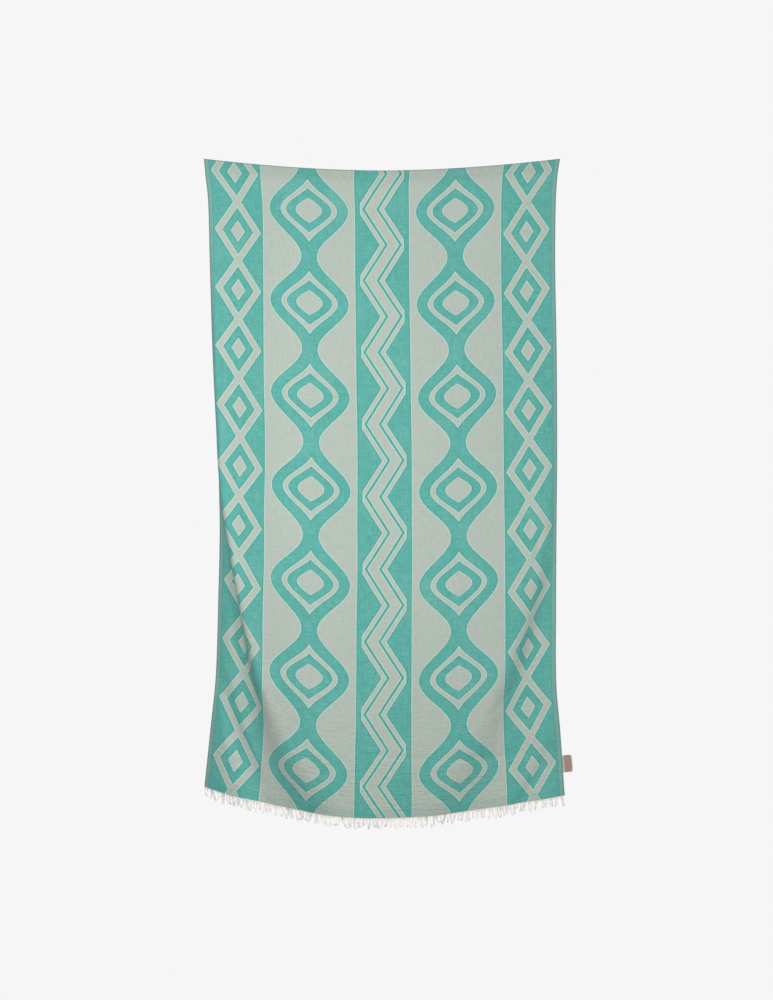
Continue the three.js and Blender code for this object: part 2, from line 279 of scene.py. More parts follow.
def cloth_places(across, down):
    """The middle of the cloth's thickness, as rows down the cloth of places across it."""
    step = CLOTH_WIDTH / SECTION_STEPS
    middles = (np.arange(SECTION_STEPS) + 0.5) * step
    angle = np.zeros((len(down), SECTION_STEPS))
    for fold in FOLDS.values():
        centre, reach, turn, lift = columns_at(fold, down)
        t = np.clip((middles[None, :] - centre) / reach, -1, 1)
        angle += np.radians(turn) * np.cos(np.pi * t / 2) ** 2
        angle -= lift * np.pi / (2 * reach) * np.sin(np.pi * t)
    start = np.zeros((len(down), 1))
    sideways = np.hstack([start, np.cumsum(np.cos(angle) * step, axis=1)])
    forward = np.hstack([start, np.cumsum(np.sin(angle) * step, axis=1)])
    least = sideways.min(axis=1, keepdims=True)
    most = sideways.max(axis=1, keepdims=True)
    left, right, left_forward, right_forward = columns_at(SIDES, down)
    sideways = left + (right - left) * (sideways - least) / (most - least)
    shares = np.linspace(0, 1, SECTION_STEPS + 1)[None, :]
    forward = forward + left_forward + (right_forward - forward[:, -1:] - left_forward) * shares
    place = np.asarray(across) / step
    index = np.clip(place.astype(int), 0, SECTION_STEPS - 1)
    t = (place - index)[None, :]
    x = sideways[:, index] * (1 - t) + sideways[:, index + 1] * t
    y = -(forward[:, index] * (1 - t) + forward[:, index + 1] * t)
    share = np.asarray(across) / CLOTH_WIDTH
    top = TOP_SAG * np.abs(2 * share - 1) ** TOP_CURVE
    run = share - HEM_LOW_SHARE
    rise_left = HEM_RISE_LEFT * np.abs(run / HEM_LOW_SHARE) ** HEM_CURVE_LEFT
    rise_right = HEM_RISE_RIGHT * np.abs(run / (1 - HEM_LOW_SHARE)) ** HEM_CURVE_RIGHT
    hem = HEM_LOW_HEIGHT + np.where(run < 0, rise_left, rise_right)
    z = top[None, :] + (hem - top)[None, :] * np.asarray(down)[:, None] / CLOTH_LENGTH
    return np.stack([x, y, z], axis=-1)


def cloth_normals(places):
    """Which way the face of the cloth looks at each place of a grid."""
    rightward = np.gradient(places, axis=1)
    downward = np.gradient(places, axis=0)
    normals = np.cross(downward, rightward)
    return normals / np.linalg.norm(normals, axis=-1, keepdims=True)


# Creases are soft troughs and ridges left by packing and by the hang, from one place on the
# cloth to another. Ripples run level across it, wander up and down a little, and grow towards
# the hem.
CREASES = table(
    "across down to_across to_down height width",
    (0.370, 1.612, 0.640, 1.640, -0.0012, 0.007),
    (0.600, 1.638, 0.965, 1.668, -0.0016, 0.008),
    (0.785, 1.552, 0.911, 1.434, -0.0020, 0.007),
    (0.826, 1.480, 0.820, 1.700, -0.0022, 0.006),
    (0.735, 1.600, 0.800, 1.530, 0.0012, 0.010),
    (0.905, 1.170, 0.948, 0.980, 0.0010, 0.010),
    (0.030, 1.560, 0.120, 1.735, -0.0022, 0.010),
    (0.060, 1.540, 0.160, 1.700, 0.0016, 0.012),
    (0.020, 1.250, 0.052, 1.420, 0.0012, 0.010),
    (0.004, 0.850, 0.060, 1.290, -0.0052, 0.009),
    (0.060, 1.250, 0.090, 1.500, -0.0034, 0.009),
    (0.030, 0.860, 0.092, 1.290, 0.0026, 0.011),
    (0.890, 1.790, 0.975, 1.640, -0.0014, 0.010),
)
RIPPLES = table(
    "down pitch height",
    (0.00, 0.030, 0.00006),
    (1.10, 0.024, 0.00010),
    (1.50, 0.019, 0.00024),
    (1.80, 0.016, 0.00050),
)
CREASE_FADE = 0.06
RIPPLE_DRIFTS = table("height across down", (1.6, 17, 2.3), (1.1, 41, -5.0))
RIPPLE_PATCH = {"middle": 0.55, "swing": 0.45, "across": 23, "down": 31, "bend": 1.3, "bend_down": 47}


def crease_heights(across, down):
    """How far creases and ripples lift the cloth at each place of a grid."""
    u, v = np.meshgrid(across, down)
    height = np.zeros_like(u)
    for a, d, to_a, to_d, lift, width in zip(*CREASES.values()):
        run_a, run_d = to_a - a, to_d - d
        t = np.clip(((u - a) * run_a + (v - d) * run_d) / (run_a ** 2 + run_d ** 2), 0, 1)
        away = np.hypot(u - a - t * run_a, v - d - t * run_d)
        fade = np.sin(np.pi * (CREASE_FADE + (1 - 2 * CREASE_FADE) * t))
        height += lift * np.exp(-((away / width) ** 2)) * fade
    pitch = value_at(RIPPLES, "pitch", down)
    lift = value_at(RIPPLES, "height", down)[:, None]
    phase = 2 * np.pi * np.append(0, np.cumsum(np.diff(down) / pitch[1:]))[:, None]
    drift = sum(size * np.sin(u * along + v * fall) for size, along, fall in zip(*RIPPLE_DRIFTS.values()))
    bend = RIPPLE_PATCH["bend"] * np.sin(v * RIPPLE_PATCH["bend_down"])
    patch = np.sin(u * RIPPLE_PATCH["across"] + v * RIPPLE_PATCH["down"] + bend)
    patch = RIPPLE_PATCH["middle"] + RIPPLE_PATCH["swing"] * patch
    return height + lift * patch * np.sin(phase + drift)


def crowded(count):
    """Places from edge to edge of the cloth, closer together towards both selvedges."""
    share = np.linspace(0, 1, count + 1)
    return CLOTH_WIDTH * (share - EDGE_CROWDING * np.sin(2 * np.pi * share) / (2 * np.pi))


across = np.sort(np.append(crowded(CLOTH_COLUMNS), [RIM, CLOTH_WIDTH - RIM]))
hem_step = [TOP_HEM_DEPTH - RIM, TOP_HEM_DEPTH + RIM / 2, TOP_HEM_DEPTH + 2 * RIM]
down = np.linspace(0, CLOTH_LENGTH, CLOTH_ROWS + 1)
down = np.sort(np.append(down, [RIM, *hem_step, CLOTH_LENGTH - RIM]))
middle = cloth_places(across, down)
normals = cloth_normals(middle)
hem_share = 1 - np.clip((down - TOP_HEM_DEPTH) / (2 * RIM), 0, 1)
half_thickness = (CLOTH_THICKNESS + (TOP_HEM_THICKNESS - CLOTH_THICKNESS) * hem_share)[:, None, None] / 2
from_sides = np.minimum(across, CLOTH_WIDTH - across)[None, :]
from_ends = np.minimum(down, CLOTH_LENGTH - down)[:, None]
inward = np.clip(np.minimum(from_sides, from_ends) / RIM, 0, 1)[..., None]
half_thickness = half_thickness * (RIM_SHARE + (1 - RIM_SHARE) * inward)
middle = middle + normals * crease_heights(across, down)[..., None]
front = middle + normals * half_thickness
back = middle - normals * half_thickness

row_count, column_count = middle.shape[:2]
cell_count = row_count * column_count
number = np.arange(cell_count).reshape(row_count, column_count)
corner_a, corner_b = number[:-1, :-1].ravel(), number[1:, :-1].ravel()
corner_c, corner_d = number[1:, 1:].ravel(), number[:-1, 1:].ravel()
front_faces = np.stack([corner_a, corner_b, corner_c, corner_d], axis=1)
back_faces = np.stack([corner_a, corner_d, corner_c, corner_b], axis=1) + cell_count
rim = np.concatenate([number[:, 0], number[-1, 1:], number[-2::-1, -1], number[0, -2:0:-1]])
rim_next = np.roll(rim, -1)
rim_faces = np.stack([rim_next, rim, rim + cell_count, rim_next + cell_count], axis=1)
faces = np.concatenate([front_faces, back_faces, rim_faces])

cloth_mesh = bpy.data.meshes.new("towel_cloth_woven")
cloth_points = np.concatenate([front.reshape(-1, 3), back.reshape(-1, 3)])
cloth_mesh.from_pydata(cloth_points.tolist(), [], faces.tolist())


def lay_flat(mesh, name, places):
    """Gives a mesh a flat map, in metres, from a flat place for each of its points."""
    points = np.empty(len(mesh.loops), dtype=int)
    mesh.loops.foreach_get("vertex_index", points)
    flat_map = mesh.uv_layers.new(name=name)
    flat_map.data.foreach_set("uv", np.array(places, np.float32)[points].ravel())


flat_across, flat_down = np.meshgrid(across, down)
one_face = np.stack([flat_across.ravel(), flat_down.ravel()], axis=1)
lay_flat(cloth_mesh, "flat_cloth", np.concatenate([one_face, one_face]))
cloth_mesh.polygons.foreach_set("use_smooth", np.ones(len(faces), dtype=bool))
face_slots = np.zeros(len(faces), dtype=int)
face_slots[len(front_faces):len(front_faces) + len(back_faces)] = 1
cloth_mesh.polygons.foreach_set("material_index", face_slots)


def linear(red, green, blue):
    """A colour as it is seen, in 255ths, as the light that a shader works with."""
    shares = [value / 255 for value in (red, green, blue)]
    return (*[s / 12.92 if s <= 0.04045 else ((s + 0.055) / 1.055) ** 2.4 for s in shares], 1)


class Value:
    """What a node of a finish gives. A sum with it adds the nodes that work it out."""

    def __init__(self, finish, socket):
        self.finish = finish
        self.socket = socket

    def math(self, operation, *others):
        return self.finish.add("ShaderNodeMath", {"operation": operation}, [self, *others])

    def __add__(self, other):
        return self.math("ADD", other)

    def __sub__(self, other):
        return self.math("SUBTRACT", other)

    def __rsub__(self, other):
        return self.finish.add("ShaderNodeMath", {"operation": "SUBTRACT"}, [other, self])

    def __mul__(self, other):
        return self.math("MULTIPLY", other)

    def __truediv__(self, other):
        return self.math("DIVIDE", other)

    def __pow__(self, other):
        return self.math("POWER", other)

    def __lt__(self, other):
        return self.math("LESS_THAN", other)

    def __abs__(self):
        return self.math("ABSOLUTE")

    __radd__ = __add__
    __rmul__ = __mul__

    def smooth(self, low, high):
        """0 below low, 1 above high, and an easy change between them."""
        settings = {"interpolation_type": "SMOOTHSTEP"}
        return self.finish.add("ShaderNodeMapRange", settings, [self, low, high, 0.0, 1.0])


SHEEN_ROUGHNESS = 0.6
YARN_GLOSS = 0.25


class Finish:
    """A material as it is put together, with one way to add a node."""

    def __init__(self, name):
        self.material = bpy.data.materials.new(name)
        self.material.use_nodes = True
        self.tree = self.material.node_tree
        self.tree.nodes.clear()

    def add(self, kind, settings, inputs, output=0):
        """Adds a node. Each of its inputs is a number, a colour or what another node gives."""
        node = self.tree.nodes.new(kind)
        for name, value in settings.items():
            setattr(node, name, value)
        sockets = inputs.items() if isinstance(inputs, dict) else enumerate(inputs)
        for name, value in sockets:
            if isinstance(value, Value):
                self.tree.links.new(value.socket, node.inputs[name])
            else:
                node.inputs[name].default_value = value
        return Value(self, node.outputs[output]) if node.outputs else None

    def places(self, uv_map):
        """The two measures of a flat map, as two numbers."""
        place = self.add("ShaderNodeUVMap", {"uv_map": uv_map}, {})
        return [self.add("ShaderNodeSeparateXYZ", {}, [place], output=axis) for axis in (0, 1)]

    def mix(self, factor, first, second, how="MIX"):
        """Mixes two colours. They are the 7th and 8th socket of the node, and its 3rd output."""
        settings = {"data_type": "RGBA", "blend_type": how}
        return self.add("ShaderNodeMix", settings, {0: factor, 6: first, 7: second}, output=2)

    def noise(self, across, down, across_size, down_size, detail, seed):
        """Uneven patches of about the given sizes, from 0 to 1."""
        place = self.add("ShaderNodeCombineXYZ", {}, [across / across_size, down / down_size, seed])
        settings = {"noise_dimensions": "3D"}
        return self.add("ShaderNodeTexNoise", settings, {"Vector": place, "Scale": 1.0, "Detail": detail})

    def surface(self, colour, roughness, height, sheen):
        """Joins colour, roughness and relief into the finished surface."""
        relief = self.add("ShaderNodeBump", {}, {"Strength": 1.0, "Distance": 1.0, "Height": height})
        shader = self.add("ShaderNodeBsdfPrincipled", {}, {
            "Base Color": colour,
            "Roughness": roughness,
            "Normal": relief,
            "Sheen Weight": sheen,
            "Sheen Roughness": SHEEN_ROUGHNESS,
            "Specular IOR Level": YARN_GLOSS,
        })
        self.add("ShaderNodeOutputMaterial", {}, {"Surface": shader})
        return self.material


# The pattern, in metres across and down the flat cloth. Bands of traditional motifs run its
# whole length, the same on both sides of the middle: a chain of lozenges along each selvedge, a
# chain of ogees beside it on a pale ground, and a barred zigzag down the middle.
THREAD_PITCH = 0.0012
OGEE_MIDDLES = (0.290, 0.710)
OGEE_GROUND_HALF = 0.133
OGEE_PITCH = 0.260
OGEE_START = 0.120
OGEE_NECK = 0.022
OGEE_BELLY = 0.112
OGEE_RING_DEPTH = 0.039
OGEE_RING_BAR = 0.016
OGEE_HEART_DEPTH = 0.074
LOZENGE_MIDDLES = (0.084, 0.916)
LOZENGES = {"swing": 0.112, "pitch": 0.334, "bar": 0.019, "phase": 0.030}
LOZENGE_HEART = 0.021
ZIGZAG = {"middle": 0.500, "swing": 0.066, "pitch": 0.200, "bar": 0.028, "phase": 0.010}
ZIGZAG_HALF = 0.063
ZIGZAG_RAILS = (-0.032, 0.032)
ZIGZAG_RAIL_BAR = 0.013


def nearest(*shapes):
    """The union of several shapes."""
    union = shapes[0]
    for shape in shapes[1:]:
        union = union.math("MINIMUM", shape)
    return union


def ogee_chain(across, down, middle):
    """Below 0 in the pale ground beside a chain of ogees, and in the ring and heart of each."""
    aside = abs(across - middle)
    turn = (down - OGEE_START) * (2 * math.pi / OGEE_PITCH)
    swell = OGEE_BELLY - OGEE_NECK
    reach = turn.math("COSINE") * (swell / 2) + (OGEE_NECK + OGEE_BELLY) / 2
    slope = turn.math("SINE") * (math.pi * swell / OGEE_PITCH)
    depth = (reach - aside) / (1 + slope * slope) ** 0.5
    ground = depth.math("MAXIMUM", aside - OGEE_GROUND_HALF)
    ring = abs(depth - OGEE_RING_DEPTH) - OGEE_RING_BAR / 2
    return nearest(ground, ring, OGEE_HEART_DEPTH - depth)


def zigzag_line(across, down, middle, swing, pitch, phase, bar):
    """Below 0 in a bar of the given width that swings from side to side."""
    turns = (down - phase) / pitch
    swung = abs(turns.math("FRACT") - 0.5) * (2 * swing) + (middle - swing / 2)
    return abs(across - swung) / math.hypot(1, 2 * swing / pitch) - bar / 2


def lozenge_chain(across, down, middle):
    """Below 0 in two zigzag bars that cross, and in the small lozenge inside each mesh."""
    half_turn = LOZENGES["pitch"] / 2
    slope = 2 * LOZENGES["swing"] / LOZENGES["pitch"]
    first = zigzag_line(across, down, middle, **LOZENGES)
    second = zigzag_line(across, down, middle, **{**LOZENGES, "phase": LOZENGES["phase"] + half_turn})
    turns = (down - LOZENGES["phase"]) / half_turn + 0.5
    level = abs(turns.math("FRACT") - 0.5) * (half_turn * slope)
    heart = (abs(across - middle) + level - LOZENGE_HEART) / math.hypot(1, slope)
    return nearest(first, second, heart)


def pattern(across, down):
    """How far each place is from the edge of the pale motifs, below 0 inside them."""
    ogees = [ogee_chain(across, down, middle) for middle in OGEE_MIDDLES]
    lozenges = [lozenge_chain(across, down, middle) for middle in LOZENGE_MIDDLES]
    bars = [zigzag_line(across, down, **ZIGZAG)]
    for aside in ZIGZAG_RAILS:
        rail = {**ZIGZAG, "middle": ZIGZAG["middle"] + aside, "bar": ZIGZAG_RAIL_BAR}
        bars.append(zigzag_line(across, down, **rail))
    barred = nearest(*bars)
    edge = abs(across - ZIGZAG["middle"]) - ZIGZAG_HALF
    return nearest(*ogees, *lozenges, barred.math("MAXIMUM", edge))


# The two yarns and the weave. The yarn is dyed by hand, so it has long warp streaks, short weft
# slubs and slow patches. Single picks sit a little proud, and show more towards the hem. The
# selvedges are plain strips with a groove, a firm outer cord and a row of catch stitches.
MINT = linear(163, 195, 184)
DEEP_TEAL = linear(55, 141, 128)
SELVEDGE_MINT = linear(103, 147, 141)
SELVEDGE_PALE = linear(124, 162, 155)
SELVEDGE_CORD_GREY = linear(90, 134, 125)
TOP_EDGE_BROWN = linear(89, 108, 96)
WARP_CREAM = linear(232, 220, 214)
TEAL_YARN = {
    "colour": linear(77, 152, 143),
    "fleck": linear(122, 172, 164),
    "soak": DEEP_TEAL,
    "life": 1.0,
    "bloom": 0.07,
}
GREY_YARN = {
    "colour": linear(158, 169, 160),
    "fleck": linear(172, 167, 160),
    "soak": linear(150, 173, 160),
    "life": 0.5,
    "bloom": 0.34,
}


def named_rows(columns, **rows):
    """A small table, as one dictionary for each named row."""
    return {name: dict(zip(columns.split(), row)) for name, row in rows.items()}


UNEVENNESS = named_rows(
    "across_size down_size detail seed",
    patches=(0.1100, 0.1600, 2, 1),
    streaks=(0.0042, 0.2200, 2, 2),
    slubs=(0.0300, 0.0030, 2, 3),
    ends=(0.0030, 0.0260, 1, 4),
    soak=(0.0400, 0.0034, 2, 5),
    pick_drift=(0.0900, 0.0500, 2, 6),
    pick_patch=(0.1300, 0.0240, 2, 7),
    crinkle=(0.0200, 0.0085, 3, 8),
    tufts=(0.0028, 0.0022, 1, 9),
    mottle=(0.0160, 0.0100, 3, 10),
    weft_crinkle=(0.0400, 0.0042, 2, 11),
    warp_ends=(0.0016, 0.0200, 1, 13),
    bloom=(0.0260, 0.0200, 2, 15),
)
YARN_MARKS = named_rows(
    "uneven towards low high share",
    fleck=("slubs", "fleck", 0.56, 0.72, 0.42),
    soak=("soak", "soak", 0.55, 0.72, 0.55),
    streaks=("streaks", "fleck", 0.50, 0.85, 0.16),
    patches=("patches", "fleck", 0.45, 0.80, 0.22),
)
TONE_SHARES = {"ends": 0.44, "slubs": 0.10, "mottle": 0.17, "streaks": 0.14}
BLOOM_RANGE = (0.50, 0.68)
BORDER_LINE = 0.0026
BORDER_EASE = 0.3
BORDER_SOFT = 0.0004
BORDER_SHARES = {"line": 0.85, "shade": 0.75}

LOWER_RANGE = (1.20, 1.78)
PICK_PITCH = 0.0048
PICK_DRIFT = 0.010
PICK_PATCH_RANGE = (0.3, 0.7)
PICK_TONE = {"everywhere": 0.02, "lower": 0.12}
# Painted shade along the top of the cloth: how far down it reaches, and how dark it is at the edge
PAINTED_TOP_SHADE_DEPTH = 0.055
PAINTED_TOP_SHADE_SHARE = 0.105

SELVEDGE = 0.013
SELVEDGE_SOFT = 0.04
SELVEDGE_CORD = 0.004
SELVEDGE_CORD_SOFT = 0.1
GROOVE_PLACE = 0.0085
GROOVE_HALF = (0.0004, 0.0010)
STITCH_PITCH = 0.0056
STITCH_HALF_WIDTH = (0.0012, 0.0018)
STITCH_HALF_SHARE = (0.22, 0.30)
SELVEDGE_SHARES = {"strip": 0.9, "groove": 0.35, "cord": 0.9, "stitch": 0.85}

HEM_DEPTH = (0.022, 0.032)
HEM_RIB_PITCH = 0.0046
HEM_SHADE = 0.22
TOP_STITCH_IN = 0.003
TOP_STITCH_HALF = (0.0005, 0.0011)
TOP_EDGE_DEPTH = (0.0016, 0.0040)
TOP_EDGE_SHARE = 0.55
FRAY_DEPTH = 0.0034
FRAY_SOFT = (-0.0004, 0.0010)
FRAY_SHARE = 0.8

RELIEF = named_rows(
    "everywhere lower",
    crinkle=(0.00090, 0.0007),
    weft_crinkle=(0.00010, 0.0011),
    picks=(0.00004, 0.0001),
)
RIB_HEIGHT = 0.00003
TUFT_HEIGHT = 0.00018
HEM_RIB_HEIGHT = 0.00022
MOTIF_HEIGHT = 0.00012
GROOVE_SINK = 0.0002
CORD_HEIGHT = 0.0003
STITCH_HEIGHT = 0.0003
TOP_STITCH_SINK = 0.00025
WEAVE_ROUGHNESS = 0.93
WEAVE_SHEEN = 0.12


def weave(name, ground, motif, line, shade):
    """One face of the double weave, with its pattern, slubs, ribs, selvedges and hem lines."""
    finish = Finish(name)
    across, down = finish.places("flat_cloth")
    uneven = {kind: finish.noise(across, down, **size) for kind, size in UNEVENNESS.items()}
    stepped = [
        (way / THREAD_PITCH).math("FLOOR") * THREAD_PITCH + THREAD_PITCH / 2
        for way in (across, down)
    ]
    edge = pattern(*stepped)
    is_motif = edge < 0

    # The two yarns with the marks of their dye, and the line and the shade along each edge
    colour = finish.mix(is_motif, ground["colour"], motif["colour"])
    towards = {kind: finish.mix(is_motif, ground[kind], motif[kind]) for kind in ("fleck", "soak")}
    for mark in YARN_MARKS.values():
        share = uneven[mark["uneven"]].smooth(mark["low"], mark["high"]) * mark["share"]
        colour = finish.mix(share, colour, towards[mark["towards"]])
    bloomed = is_motif * (motif["bloom"] - ground["bloom"]) + ground["bloom"]
    for bloom, kind in ((uneven["bloom"], "fleck"), (1 - uneven["bloom"], "soak")):
        colour = finish.mix(bloom.smooth(*BLOOM_RANGE) * bloomed, colour, towards[kind])
    border = [BORDER_LINE * (1 - BORDER_EASE), BORDER_LINE * (1 + BORDER_EASE)]
    for depth, kind, dye in ((0 - edge, "line", line), (edge, "shade", shade)):
        beside = depth.smooth(0, BORDER_SOFT) * (1 - depth.smooth(*border))
        colour = finish.mix(beside * BORDER_SHARES[kind], colour, dye)

    # Light and dark from yarn to yarn and from pick to pick, and painted shade darkening the cloth towards
    # the top edge that is held
    lower = down.smooth(*LOWER_RANGE)
    picks = (down + (uneven["pick_drift"] - 0.5) * PICK_DRIFT) * (2 * math.pi / PICK_PITCH)
    pick_wave = picks.math("SINE") * uneven["pick_patch"].smooth(*PICK_PATCH_RANGE)
    life = is_motif * (motif["life"] - ground["life"]) + ground["life"]
    # Painted shade: the colour darkens over the top few centimetres of the cloth, where it hangs from its
    # corners
    painted_top_shade = 1 - down.smooth(0, PAINTED_TOP_SHADE_DEPTH)
    tone = sum((uneven[kind] - 0.5) * share for kind, share in TONE_SHARES.items()) * life
    tone = tone + pick_wave * (lower * PICK_TONE["lower"] + PICK_TONE["everywhere"]) + 1 - painted_top_shade * PAINTED_TOP_SHADE_SHARE
    grey = finish.add("ShaderNodeCombineXYZ", {}, [tone, tone, tone])
    colour = finish.mix(1.0, colour, grey, how="MULTIPLY")

    # Selvedges
    from_side = across.math("MINIMUM", CLOTH_WIDTH - across)
    strip = 1 - from_side.smooth(SELVEDGE * (1 - SELVEDGE_SOFT), SELVEDGE * (1 + SELVEDGE_SOFT))
    cord_reach = [SELVEDGE_CORD * (1 - SELVEDGE_CORD_SOFT), SELVEDGE_CORD * (1 + SELVEDGE_CORD_SOFT)]
    cord = 1 - from_side.smooth(*cord_reach)
    groove = strip * (1 - abs(from_side - GROOVE_PLACE).smooth(*GROOVE_HALF))
    ladder = down / STITCH_PITCH
    stitch = 1 - abs(ladder.math("FRACT") - 0.5).smooth(*STITCH_HALF_SHARE)
    stitch = stitch * (1 - abs(from_side - SELVEDGE).smooth(*STITCH_HALF_WIDTH))
    strip_colour = finish.mix(uneven["slubs"], SELVEDGE_MINT, SELVEDGE_PALE)
    colour = finish.mix(strip * SELVEDGE_SHARES["strip"], colour, strip_colour)
    colour = finish.mix(groove * SELVEDGE_SHARES["groove"], colour, SELVEDGE_CORD_GREY)
    colour = finish.mix(cord * SELVEDGE_SHARES["cord"], colour, SELVEDGE_CORD_GREY)
    colour = finish.mix(stitch * SELVEDGE_SHARES["stitch"], colour, DEEP_TEAL)

    # Hems: beaten-up picks and cut warp ends above the fringe, and the turned hem at the top
    from_hem = CLOTH_LENGTH - down
    hem = 1 - from_hem.smooth(*HEM_DEPTH)
    hem_ribs = from_hem * (2 * math.pi / HEM_RIB_PITCH)
    hem_wave = hem_ribs.math("SINE") * hem
    top_stitch = 1 - abs(down - (TOP_HEM_DEPTH - TOP_STITCH_IN)).smooth(*TOP_STITCH_HALF)
    top_edge = 1 - down.smooth(*TOP_EDGE_DEPTH)
    frayed = 1 - (from_hem - uneven["warp_ends"] * FRAY_DEPTH).smooth(*FRAY_SOFT)
    colour = finish.mix((0.5 - hem_wave * 0.5) * hem * HEM_SHADE, colour, shade)
    colour = finish.mix(top_edge * TOP_EDGE_SHARE, colour, TOP_EDGE_BROWN)
    colour = finish.mix(frayed * FRAY_SHARE, colour, WARP_CREAM)

    # Relief of the threads, the crinkles, the hems and the selvedges
    ribs = [way * (2 * math.pi / THREAD_PITCH) for way in (across, down)]
    warp_rib, weft_rib = (rib.math("SINE") for rib in ribs)
    waves = {"crinkle": uneven["crinkle"], "weft_crinkle": uneven["weft_crinkle"], "picks": pick_wave}
    height = sum(
        wave * (lower * RELIEF[kind]["lower"] + RELIEF[kind]["everywhere"])
        for kind, wave in waves.items()
    )
    height = (
        height
        + warp_rib * weft_rib * RIB_HEIGHT
        + uneven["tufts"] * TUFT_HEIGHT
        + hem_wave * HEM_RIB_HEIGHT
        + is_motif * MOTIF_HEIGHT
        - groove * GROOVE_SINK
        + cord * CORD_HEIGHT
        + stitch * STITCH_HEIGHT
        - top_stitch * TOP_STITCH_SINK
    )
    return finish.surface(colour, WEAVE_ROUGHNESS, height, WEAVE_SHEEN)


cloth_mesh.materials.append(weave("towel_weave_face", TEAL_YARN, GREY_YARN, MINT, DEEP_TEAL))
cloth_mesh.materials.append(weave("towel_weave_reverse", GREY_YARN, TEAL_YARN, DEEP_TEAL, MINT))
cloth = bpy.data.objects.new("towel_cloth_woven", cloth_mesh)
bpy.context.collection.objects.link(cloth)
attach(cloth, "root")
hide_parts("towel_cloth")

# Fringe. The warp threads run on below the hem as loose, uneven tufts of undyed cotton, each of
# a few soft threads that part towards their ends.
TUFTS = 132
TUFT_PLACE_SPREAD = 0.22
TUFT_EDGE = 0.002
TUFT_WIDTH = 0.0056
TUFT_GATHER = 0.35
THREADS_IN_TUFT = 10
THREAD_EDGE = 0.001
THREAD_RADIUS = 0.00052
THREAD_TAPER = 0.45
THREAD_RINGS = 8
THREAD_SIDES = 4
THREAD_LENGTH_SHARES = (0.84, 1.064)
THREAD_PART_SPREAD = 0.0013
THREAD_LAYER = 0.0006
THREAD_WOBBLE = 0.0007
WOBBLE_TURNS = {"aside": 9, "forward": 8}
FRINGE_LENGTHS = (0.0200, 0.0304)
FRINGE_ROOT_DEPTH = 0.0015
FRINGE_SWAY = 0.0045
FRINGE_SWAY_PITCH = 0.190
GROUP_PITCH = 0.026
GROUP_WANDER = 1.7
GROUP_WANDER_WAVES = 23
GROUP_LEAN = 0.0030
LEAN_SPREAD = 0.0032
FORWARD_SPREAD = 0.0030
CURL_SPREAD = 0.0022
LEAN_BEND = 1.6
PART_BEND = 1.3
HEM_SAMPLES = 801
HEM_SAMPLE_DEPTH = 0.004

fringe_random = np.random.default_rng(11)
hem_across = np.linspace(0, CLOTH_WIDTH, HEM_SAMPLES)
hem_rows = cloth_places(hem_across, np.array([CLOTH_LENGTH - HEM_SAMPLE_DEPTH, CLOTH_LENGTH]))
hem_normals = cloth_normals(hem_rows)[1]
thread_points, thread_faces, thread_marks = [], [], []
rings = np.linspace(0, 1, THREAD_RINGS + 1)
bow = np.sin(np.pi * rings)
taper = THREAD_RADIUS * (1 - THREAD_TAPER * rings ** 2)
corners = np.arange(THREAD_SIDES) * 2 * np.pi / THREAD_SIDES
for tuft in range(TUFTS):
    tuft_across = (tuft + 0.5 + TUFT_PLACE_SPREAD * fringe_random.uniform(-1, 1)) * CLOTH_WIDTH / TUFTS
    tuft_across = float(np.clip(tuft_across, TUFT_EDGE, CLOTH_WIDTH - TUFT_EDGE))
    sway = 2 * np.pi * tuft_across / FRINGE_SWAY_PITCH
    length = fringe_random.uniform(*FRINGE_LENGTHS)
    group = 2 * np.pi * tuft_across / GROUP_PITCH + GROUP_WANDER * np.sin(tuft_across * GROUP_WANDER_WAVES)
    lean = FRINGE_SWAY * np.sin(sway) + GROUP_LEAN * np.sin(group) + LEAN_SPREAD * fringe_random.normal()
    forward = FRINGE_SWAY * np.cos(sway) + FORWARD_SPREAD * fringe_random.normal()
    curl_aside, curl_forward = CURL_SPREAD * fringe_random.normal(size=2)
    for thread in range(THREADS_IN_TUFT):
        spot = TUFT_WIDTH * (thread - (THREADS_IN_TUFT - 1) / 2) / THREADS_IN_TUFT
        root_across = np.clip(tuft_across + spot, THREAD_EDGE, CLOTH_WIDTH - THREAD_EDGE)
        root = [np.interp(root_across, hem_across, hem_rows[1, :, axis]) for axis in range(3)]
        normal = [np.interp(root_across, hem_across, hem_normals[:, axis]) for axis in range(3)]
        own = length * fringe_random.uniform(*THREAD_LENGTH_SHARES)
        part_aside, part_forward = THREAD_PART_SPREAD * fringe_random.normal(size=2)
        wave_aside, wave_forward = fringe_random.uniform(0, 2 * np.pi, 2)
        proud = THREAD_LAYER * (-1 if thread % 2 else 1)
        x = root[0] + normal[0] * proud - spot * TUFT_GATHER * rings + curl_aside * bow
        x += lean * rings ** LEAN_BEND + part_aside * rings ** PART_BEND
        x += THREAD_WOBBLE * np.sin(rings * WOBBLE_TURNS["aside"] + wave_aside) * rings
        y = root[1] + normal[1] * proud + curl_forward * bow
        y += part_forward * rings ** PART_BEND - forward * rings ** LEAN_BEND
        y += THREAD_WOBBLE * np.sin(rings * WOBBLE_TURNS["forward"] + wave_forward) * rings
        z = root[2] + FRINGE_ROOT_DEPTH - (own + FRINGE_ROOT_DEPTH) * rings
        first = len(thread_points)
        for ring in range(THREAD_RINGS + 1):
            for corner in corners:
                aside, away = taper[ring] * math.cos(corner), taper[ring] * math.sin(corner)
                thread_points.append((x[ring] + aside, y[ring] + away, z[ring]))
                thread_marks.append((rings[ring], root_across))
        for ring in range(THREAD_RINGS):
            for side in range(THREAD_SIDES):
                a = first + ring * THREAD_SIDES + side
                b = first + ring * THREAD_SIDES + (side + 1) % THREAD_SIDES
                thread_faces.append((b, a, a + THREAD_SIDES, b + THREAD_SIDES))
        last = first + THREAD_RINGS * THREAD_SIDES
        thread_faces.append(tuple(first + side for side in range(THREAD_SIDES)))
        thread_faces.append(tuple(last + side for side in reversed(range(THREAD_SIDES))))

